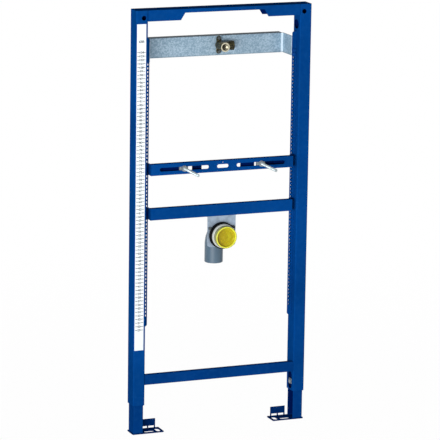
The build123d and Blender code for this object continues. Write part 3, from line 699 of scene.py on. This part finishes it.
def threaded(root, crest, pitch, length, steps, inside=False):
    """A threaded rod along Z, or the thread of a bore, cut square and tapered at its ends."""
    mesh = bmesh.new()
    taper = 0.15 * MM
    marks = ((root, 0.0), (root, 0.12), (crest, 0.44), (crest, 0.56), (root, 0.88), (root, 1.0))
    verts = [mesh.verts.new((radius, 0.0, (part - 1.5) * pitch)) for radius, part in marks]
    edges = [mesh.edges.new(pair) for pair in zip(verts, verts[1:])]
    # It starts early and ends late, so that both ends can be cut square
    turns = int(length / pitch) + 3
    bmesh.ops.spin(
        mesh, geom=verts + edges, cent=(0, 0, 0), axis=(0, 0, 1), angle=2 * pi * turns,
        steps=steps * turns, dvec=(0, 0, pitch / steps),
    )
    bmesh.ops.remove_doubles(mesh, verts=mesh.verts, dist=0.01 * MM)
    for height, side in ((0.0, -1), (length, 1)):
        cut_flat(mesh, (0, 0, height), (0, 0, side), filled=not inside)
    for vert in mesh.verts:
        room = min(vert.co.z, length - vert.co.z)
        radius = Vector((vert.co.x, vert.co.y)).length
        allowed = root - taper + room
        if not inside and radius > allowed:
            vert.co.x *= allowed / radius
            vert.co.y *= allowed / radius
    bmesh.ops.recalc_face_normals(mesh, faces=mesh.faces)
    return mesh


def joined(meshes):
    """Several bmeshes in one."""
    whole = bmesh.new()
    for mesh in meshes:
        data = bpy.data.meshes.new("part")
        mesh.to_mesh(data)
        mesh.free()
        whole.from_mesh(data)
        bpy.data.meshes.remove(data)
    return whole


def moved(mesh, matrix):
    """A bmesh at another place."""
    bmesh.ops.transform(mesh, matrix=matrix, verts=mesh.verts)
    return mesh


def facing(axis, place):
    """A matrix that lays Z along an axis and puts the origin at a place."""
    turn = Vector((0, 0, 1)).rotation_difference(Vector(axis)).to_matrix().to_4x4()
    return Matrix.Translation(Vector(place)) @ turn


def supply_mouth():
    """The middle of the elbow's mouth."""
    return next(mount["pos_m"] for mount in frame["record"]["mounts"] if mount["name"] == "supply_mouth")


# Operators

class FRAME_OT_painted_steel(bpy.types.Operator):
    """Paint the posts, bars, rails, legs and feet"""
    bl_idname = "install_frame.painted_steel"
    bl_label = "Painted Steel"

    def execute(self, context):
        paint = settings().paint
        self.coat("blue_paint", paint.colour, ("left_rail", "right_rail"))
        # Painted shade near the floor: the bottom bar and the legs take the darker low paint, and the feet a
        # darker one still
        self.coat("low_shade_paint", paint.low, ("bottom_bar",))
        self.coat("foot_shade_paint", paint.foot, ("left_foot", "right_foot"))
        self.coat_with_hollow_shade("top_bar", paint.colour, *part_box("top_bar"))
        for side in SIDES:
            self.coat_with_hollow_shade(f"{side}_post", paint.colour, *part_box(f"{side}_post"))
            self.coat_with_hollow_shade(f"{side}_leg", paint.low, *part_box(f"{side}_leg"))
        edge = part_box("right_rail")[0].x
        for node in LUGGED_BARS:
            low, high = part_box(node)
            low.x, high.x = -edge, edge
            high.y = low.y + paint.bar_depth
            self.coat_with_hollow_shade(node, paint.colour, low, high, edge)
        return {"FINISHED"}

    def coat(self, name, tone, nodes):
        """The same paint on several pieces."""
        material = paint_material(name, tone)
        for node in nodes:
            dress(node, material)

    def coat_with_hollow_shade(self, node, tone, low, high, lug=None):
        """Paint with painted shade inside a bar between two corners and on its lugs."""
        wall = settings().paint.wall
        half = (high - low) / 2 - Vector((wall, wall, wall))
        dress(node, paint_material(f"{node}_paint", tone, ((low + high) / 2, half), lug))


class FRAME_OT_zinc_sheet(bpy.types.Operator):
    """Finish the supply bar and the waste bracket"""
    bl_idname = "install_frame.zinc_sheet"
    bl_label = "Zinc Sheet"

    def execute(self, context):
        dress("supply_bar", galvanised_material())
        plate = settings().metal.plate
        dress("waste_bracket", zinc_material("zinc_plate", plate, PLATE_STREAK, roughness=0.3))
        return {"FINISHED"}


class FRAME_OT_studs(bpy.types.Operator):
    """Cut the threads of the two studs and shape their nuts and washers"""
    bl_idname = "install_frame.studs"
    bl_label = "Studs"

    def execute(self, context):
        sizes = settings().fastener
        bright = bright_zinc()
        dull = dull_zinc()
        nut_bore = sizes.stud_root + 0.25 * MM
        for side in SIDES:
            stud = box_of(f"{side}_stud")
            nut = box_of(f"{side}_stud_nut").size
            washer = box_of(f"{side}_stud_washer").size
            crest = stud.size.x / 2
            rod = threaded(sizes.stud_root, crest, sizes.stud_pitch, stud.size.y, sizes.thread_steps)
            for mesh, part, name, material in (
                (rod, "stud", "threaded_stud", bright),
                (hexagon(nut.x, nut.y, nut_bore), "stud_nut", "hex_nut", dull),
                (self.washer(washer), "stud_washer", "plain_washer", dull),
            ):
                node = f"{side}_{part}"
                moved(mesh, facing(TO_ROOM, (stud.middle.x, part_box(node)[1].y, stud.middle.z)))
                piece = new_piece(mesh, f"{side}_{name}", f"{side}_stud_body", material)
                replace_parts(piece, node)
            dress(f"{side}_slide_nut", dull)
        return {"FINISHED"}

    def washer(self, size):
        """A flat ring with rounded edges."""
        inner = 4.2 * MM
        outer = size.x / 2
        profile = [(inner, 0.0), (outer, 0.0), (outer, size.y), (inner, size.y)]
        ring = turned(profile, SMALL_RING_STEPS, closed=True)
        soften(ring, width=0.25 * MM)
        return ring


class FRAME_OT_bar_screws(bpy.types.Operator):
    """Shape the hexagon screws and nuts of the cross bars, the elbow's plate and the waste bracket"""
    bl_idname = "install_frame.bar_screws"
    bl_label = "Bar Screws"

    def execute(self, context):
        sizes = settings().fastener
        metal = settings().metal
        painted = screw_material("painted_screws", settings().paint.colour)
        # The lugs' screws take the dark navy of the lugs' painted shade
        dark = screw_material("dark_screws", metal.lug_shade_fastener)
        dull = screw_material("dull_screws", metal.dull_fastener)
        half = sizes.head_flats / 2
        tip = half / cos(pi / 6)
        for bar, material in (("fixing_bar", dark), ("waste_bar", dark), ("supply_bar", painted)):
            low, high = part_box(f"{bar}_screws")
            grip = (low.y + sizes.head_thick, high.y - sizes.nut_thick)
            places = product((low.x + half, high.x - half), (low.z + tip, high.z - tip))
            piece = self.screws(f"{bar}_hex_screws", places, grip, material)
            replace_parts(piece, f"{bar}_screws")

        bracket = box_of("waste_bracket")
        front = bracket.low.y
        beside = sizes.bracket_spacing / 2
        columns = (bracket.middle.x - beside, bracket.middle.x + beside)
        places = product(columns, (bracket.high.z - sizes.bracket_drop,))
        self.screws("waste_bracket_hex_screws", places, (front, front + sizes.sheet), dull)

        x, _, z = supply_mouth()
        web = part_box("supply_elbow")[1].y
        above = sizes.elbow_spacing / 2
        places = product((x,), (z - above, z + above))
        self.screws("supply_elbow_hex_screws", places, (web - sizes.elbow_plate, web + sizes.sheet), dull)
        return {"FINISHED"}

    def screws(self, name, places, grip, material):
        """A piece of screws through the sheets between two depths, with a nut behind each."""
        sizes = settings().fastener
        front, back = grip
        crest = sizes.screw_radius
        root = crest - 0.35 * MM
        sunk = 0.2 * MM
        length = back - front + sizes.nut_thick + sizes.screw_proud
        parts = []
        for x, z in places:
            head = hexagon(sizes.head_flats, sizes.head_thick)
            parts.append(moved(head, facing(TO_ROOM, (x, front, z))))
            nut = hexagon(sizes.head_flats, sizes.nut_thick, sizes.screw_radius)
            parts.append(moved(nut, facing(TO_WALL, (x, back, z))))
            shank = threaded(root, crest, pitch=0.8 * MM, length=length, steps=12)
            parts.append(moved(shank, facing(TO_WALL, (x, front - sunk, z))))
        return new_piece(joined(parts), name, "frame", material)


class FRAME_OT_clamp_bolts(bpy.types.Operator):
    """Shape the straps and bolts that clamp the telescopic legs"""
    bl_idname = "install_frame.clamp_bolts"
    bl_label = "Clamp Bolts"

    def execute(self, context):
        sizes = settings().fastener
        root = 3.4 * MM
        crest = 4.0 * MM
        for side, inward in (("left", 1.0), ("right", -1.0)):
            box = box_of(f"{side}_clamp_bolt")
            tip = box.low.x if inward > 0 else box.high.x
            seat = box.size.x - sizes.clamp_head
            reach = seat - sizes.clamp_strap / 2
            strap = cuboid((box.size.z, box.size.y, sizes.clamp_strap))
            soften(strap, width=0.5 * MM)
            moved(strap, Matrix.Translation((0, 0, reach)))
            head = moved(hexagon(sizes.clamp_flats, sizes.clamp_head), Matrix.Translation((0, 0, seat)))
            shank = threaded(root, crest, sizes.stud_pitch, reach, sizes.thread_steps)
            place = (tip, box.middle.y, box.middle.z)
            bolt = moved(joined([strap, head, shank]), facing((inward, 0.0, 0.0), place))
            piece = new_piece(bolt, f"{side}_hex_clamp", "frame", dull_zinc())
            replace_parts(piece, f"{side}_clamp_bolt")
        return {"FINISHED"}


class FRAME_OT_water_elbow(bpy.types.Operator):
    """Finish the brass elbow and cut the thread in its mouth"""
    bl_idname = "install_frame.water_elbow"
    bl_label = "Water Elbow"

    def execute(self, context):
        sizes = settings().fastener
        x, y, z = supply_mouth()
        material = brass_material((x, y, z))
        dress("supply_elbow", material)
        root = sizes.mouth_bore + 0.1 * MM
        crest = sizes.mouth_bore - sizes.mouth_thread
        inset = 1.0 * MM
        thread = threaded(root, crest, sizes.mouth_pitch, length=15 * MM, steps=36, inside=True)
        moved(thread, facing(TO_WALL, (x, y + inset, z)))
        bmesh.ops.reverse_faces(thread, faces=thread.faces)
        new_piece(thread, "elbow_mouth_thread", "frame", material)
        return {"FINISHED"}


class FRAME_OT_waste_set(bpy.types.Operator):
    """Mould the waste bend, its ring, collar and dished cap"""
    bl_idname = "install_frame.waste_set"
    bl_label = "Waste Set"

    def execute(self, context):
        plastic = settings().plastic
        pipe = plastic_material("grey_pipe", plastic.pipe, shade=0.8, roughness=0.34, coat=0.1, swirl=30 * MM)
        rubber = plastic_material(
            "black_rubber", plastic.rubber, shade=0.6, roughness=0.55, coat=0.0, swirl=20 * MM, shine=0.06
        )
        pale = plastic_material(
            "pale_collar", plastic.collar, shade=0.85, roughness=0.36, coat=0.15, swirl=20 * MM
        )
        dress("waste_bend", pipe)
        self.seal(rubber)
        self.collar(pale)
        self.cap()
        return {"FINISHED"}

    def ring(self, profile, box, rounding):
        """A turned ring with rounded edges, from the back of a box to the room."""
        ring = turned(profile, LARGE_RING_STEPS, closed=True)
        soften(ring, rounding)
        return moved(ring, facing(TO_ROOM, (box.middle.x, box.high.y, box.middle.z)))

    def seal(self, material):
        """A black ring with three round ribs on its rim."""
        box = box_of("waste_seal")
        outer = box.size.x / 2
        length = box.size.y
        ribs = 3
        valley = outer - 1.0 * MM
        half = 0.7 * MM
        profile = [(WASTE_BORE, 0.0), (outer, 0.0)]
        for index in range(1, ribs):
            height = length * index / ribs
            profile += [(outer, height - half), (valley, height), (outer, height + half)]
        profile += [(outer, length), (WASTE_BORE, length)]
        ring = self.ring(profile, box, rounding=0.5 * MM)
        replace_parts(new_piece(ring, "ribbed_seal", "frame", material), "waste_seal")

    def collar(self, material):
        """A pale collar with a step, a slight taper and a nose."""
        box = box_of("waste_collar")
        outer = box.size.x / 2
        length = box.size.y
        step = outer - 0.6 * MM
        neck = outer - 0.9 * MM
        nose = outer - 1.8 * MM
        profile = [
            (WASTE_BORE, 0.0), (outer, 0.0), (outer, length * 0.55), (step, length * 0.62),
            (neck, length * 0.9), (nose, length), (WASTE_BORE, length),
        ]
        ring = self.ring(profile, box, rounding=0.35 * MM)
        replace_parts(new_piece(ring, "tapered_collar", "frame", material), "waste_collar")

    def cap(self):
        """A dished yellow cap: bright rim, sloped wall, ringed floor and a ribbed plug."""
        box = box_of("waste_cap")
        outer = box.size.x / 2
        rim = outer - 4.0 * MM
        dish = 9.0 * MM
        rear = dish + 2.0 * MM
        cap = turned(self.dish(rim, dish) + self.plug(outer, rear, box.size.y), LARGE_RING_STEPS)
        soften(cap, width=0.3 * MM)
        moved(cap, facing(TO_WALL, (box.middle.x, box.low.y, box.middle.z)))
        material = cap_material(box.low, box.middle, outer, rim)
        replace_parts(new_piece(cap, "dished_cap", "frame", material), "waste_cap")

    def dish(self, rim, depth):
        """The dish from its middle to the rim: a raised eye, a fine ring and a sloped wall."""
        eye = 5.0 * MM
        rise = 0.3 * MM
        bead = 15.0 * MM
        half = 1.0 * MM
        bead_rise = 0.25 * MM
        slope = 1.2 * MM
        foot = rim - 1.4 * MM
        points = [(0.0, depth - rise), (eye, depth - rise), (eye + 2 * rise, depth)]
        for share, lift in ((-1.0, 0.0), (-0.5, bead_rise), (0.5, bead_rise), (1.0, 0.0)):
            points.append((bead + share * half, depth - lift))
        points += [(foot - slope, depth), (foot, depth - slope), (rim, slope / 2), (rim + slope / 2, 0.0)]
        return points

    def plug(self, outer, rear, length):
        """The cap's back from the rim: outer wall, step, ribbed plug and the rear of the dish."""
        skirt = length / 2
        edge = 1.6 * MM
        radius = 25.2 * MM
        bore = radius - 2.0 * MM
        rib_spacing = 5.0 * MM
        half = 1.0 * MM
        crest = radius + 0.25 * MM
        lead = 0.8 * MM
        points = [(outer - edge, 0.0), (outer, edge), (outer, skirt), (radius, skirt)]
        for index in (1, 2):
            height = skirt + index * rib_spacing
            points += [(radius, height - half), (crest, height), (radius, height + half)]
        points += [(radius, length - lead), (radius - lead, length)]
        return points + [(bore, length), (bore, rear), (0.0, rear)]


class FRAME_OT_height_scale(bpy.types.Operator):
    """Print the centimetre rows on the height scale"""
    bl_idname = "install_frame.height_scale"
    bl_label = "Height Scale"

    def execute(self, context):
        scale = settings().scale
        tick = 0.27
        tenth_tick = 0.30
        tick_end = 0.44
        unit_rows = 3
        unit_size = 1.5 * scale.digit
        dress("scale_strip", film_material())
        strip = box_of("scale_strip")
        middle = strip.middle.x
        front = strip.low.y
        wide = strip.size.x
        numbers = range(scale.last, scale.first - 1, -1)
        rows = "\n".join(map(str, numbers))
        parts = [self.words(rows, scale.digit, (middle, front, scale.last * scale.row))]
        for number in numbers:
            reach = tick if number % 10 else tenth_tick
            for side in (-1, 1):
                x = middle + side * (tick_end - reach / 2) * wide
                parts.append(self.tick(reach * wide, (x, front, number * scale.row)))
        top = (scale.last + unit_rows) * scale.row
        parts.append(self.words("cm", unit_size, (middle, front, top)))
        new_piece(joined(parts), "scale_print", "frame", ink_material())
        return {"FINISHED"}

    def tick(self, wide, place):
        """A flat bar of ink."""
        scale = settings().scale
        x, y, z = place
        bar = cuboid((wide, scale.print_height, scale.line))
        return moved(bar, Matrix.Translation((x, y - scale.print_height / 2, z)))

    def words(self, text, size, place):
        """Lines of ink letters, a row apart, that stand upright and face the room."""
        scale = settings().scale
        font_share = 1.35
        bold_share = 0.04
        x, y, z = place
        curve = bpy.data.curves.new("ink_text", "FONT")
        curve.body = text
        curve.size = font_share * size
        curve.space_line = scale.row / curve.size
        curve.align_x = "CENTER"
        curve.align_y = "TOP_BASELINE"
        curve.resolution_u = 2
        curve.extrude = scale.print_height / 2
        curve.offset = bold_share * size
        text_object = bpy.data.objects.new("ink_text", curve)
        bpy.context.scene.collection.objects.link(text_object)
        shown = text_object.evaluated_get(bpy.context.evaluated_depsgraph_get())
        flat = bpy.data.meshes.new_from_object(shown)
        mesh = bmesh.new()
        mesh.from_mesh(flat)
        bpy.data.objects.remove(text_object)
        bpy.data.curves.remove(curve)
        bpy.data.meshes.remove(flat)
        upright = Matrix.Rotation(pi / 2, 4, "X")
        return moved(mesh, Matrix.Translation((x, y - scale.print_height / 2, z - size / 2)) @ upright)


class FRAME_OT_stage(bpy.types.Operator):
    """Set up the floor, the white surround, three soft lamps and the camera"""
    bl_idname = "install_frame.stage"
    bl_label = "Stage"

    def execute(self, context):
        stage = settings().stage
        context.scene.view_settings.view_transform = "Standard"
        self.floor(stage)
        self.surround(stage)
        middle = (0.0, 0.0, 0.6)
        above = (0.2, -2.5, 1.0)
        self.lamp("key_lamp", stage.key_power, size=(3.2, 1.1), place=(-2.75, -3.4, 0.8), target=middle)
        self.lamp("low_lamp", stage.low_power, size=(5.0, 3.2), place=(0.2, -2.5, 0.04), target=above)
        self.lamp("back_lamp", stage.back_power, size=(2.6, 1.1), place=(2.6, 3.6, 0.6), target=middle)
        self.camera(stage)
        return {"FINISHED"}

    def seen(self, finish):
        """1 for what the camera, a reflection or a clear piece shows."""
        rays = [
            finish.add("ShaderNodeLightPath", {}, {}, name)
            for name in ("Is Camera Ray", "Is Glossy Ray", "Is Transmission Ray")
        ]
        return rays[0].most(rays[1]).most(rays[2])

    def floor(self, stage):
        """A pale floor that keeps the frame's shadow and lets a leg that is let down below it be seen."""
        shadow = 0.015
        mesh = bmesh.new()
        bmesh.ops.create_circle(mesh, cap_ends=True, segments=LARGE_RING_STEPS, radius=30.0)
        data = bpy.data.meshes.new("floor")
        mesh.to_mesh(data)
        mesh.free()
        material, finish = new_material("floor")
        fade = finish.vector("LENGTH", finish.place(), output="Value").ramp(low=0.5, high=2.6)
        unseen = self.seen(finish) * (1 - shadow + shadow * fade)
        matt = finish.add("ShaderNodeBsdfDiffuse", {}, {"Color": (*stage.floor, 1.0)})
        clear = finish.add("ShaderNodeBsdfTransparent", {}, {"Color": (1.0, 1.0, 1.0, 1.0)})
        both = finish.add("ShaderNodeMixShader", {}, {0: unseen, 1: matt, 2: clear})
        finish.add("ShaderNodeOutputMaterial", {}, {"Surface": both})
        data.materials.append(material)
        floor = bpy.data.objects.new("floor", data)
        floor.visible_shadow = False
        bpy.context.scene.collection.objects.link(floor)

    def surround(self, stage):
        """White to the eye and in reflections, and dim to matt faces."""
        world = bpy.data.worlds.new("surround")
        world.use_nodes = True
        finish = Finish(world.node_tree)
        strength = self.seen(finish) * (1 - stage.ambient) + stage.ambient
        light = finish.add("ShaderNodeBackground", {}, {"Color": (1.0, 1.0, 1.0, 1.0), "Strength": strength})
        finish.add("ShaderNodeOutputWorld", {}, {"Surface": light})
        bpy.context.scene.world = world

    def lamp(self, name, power, size, place, target):
        """A soft lamp that faces a point; none stands high, so that upward faces stay dark."""
        data = bpy.data.lights.new(name, "AREA")
        data.shape = "RECTANGLE"
        data.size, data.size_y = size
        data.energy = power
        lamp = bpy.data.objects.new(name, data)
        aim = Vector(target) - Vector(place)
        lamp.matrix_world = Matrix.Translation(place) @ aim.to_track_quat("-Z", "Y").to_matrix().to_4x4()
        bpy.context.scene.collection.objects.link(lamp)

    def camera(self, stage):
        """The camera at the picture's angle."""
        ahead = Vector((
            sin(stage.azimuth) * cos(stage.elevation),
            cos(stage.azimuth) * cos(stage.elevation),
            -sin(stage.elevation),
        ))
        right = ahead.cross(Vector((0, 0, 1))).normalized()
        up = right.cross(ahead)
        across = right * cos(stage.roll) + up * sin(stage.roll)
        upright = up * cos(stage.roll) - right * sin(stage.roll)
        place = Vector(stage.aim) - ahead * stage.distance
        data = bpy.data.cameras.new("camera")
        data.sensor_width = 36.0
        data.lens = stage.lens
        camera = bpy.data.objects.new("camera", data)
        turn = Matrix((across, upright, -ahead)).transposed().to_4x4()
        camera.matrix_world = Matrix.Translation(place) @ turn
        bpy.context.scene.collection.objects.link(camera)
        bpy.context.scene.camera = camera


OPERATORS = (
    FRAME_OT_painted_steel, FRAME_OT_zinc_sheet, FRAME_OT_studs, FRAME_OT_bar_screws, FRAME_OT_clamp_bolts,
    FRAME_OT_water_elbow, FRAME_OT_waste_set, FRAME_OT_height_scale, FRAME_OT_stage,
)


class FRAME_PT_install_frame(bpy.types.Panel):
    """The frame's pieces in the sidebar"""
    bl_idname = "FRAME_PT_install_frame"
    bl_label = "Install Frame"
    bl_space_type = "VIEW_3D"
    bl_region_type = "UI"
    bl_category = "Install Frame"

    def draw(self, context):
        for operator in OPERATORS:
            self.layout.operator(operator.bl_idname)


CLASSES = (
    PaintSettings, MetalSettings, PlasticSettings, FastenerSettings, ScaleSettings, StageSettings,
    FrameSettings, *OPERATORS, FRAME_PT_install_frame,
)


def register():
    for item in CLASSES:
        bpy.utils.register_class(item)
    bpy.types.Scene.install_frame = PointerProperty(type=FrameSettings)


def unregister():
    del bpy.types.Scene.install_frame
    for item in reversed(CLASSES):
        bpy.utils.unregister_class(item)


def main():
    register()
    bpy.ops.install_frame.painted_steel()
    bpy.ops.install_frame.zinc_sheet()
    bpy.ops.install_frame.studs()
    bpy.ops.install_frame.bar_screws()
    bpy.ops.install_frame.clamp_bolts()
    bpy.ops.install_frame.water_elbow()
    bpy.ops.install_frame.waste_set()
    bpy.ops.install_frame.height_scale()
    bpy.ops.install_frame.stage()


if __name__ == "__main__":
    main()
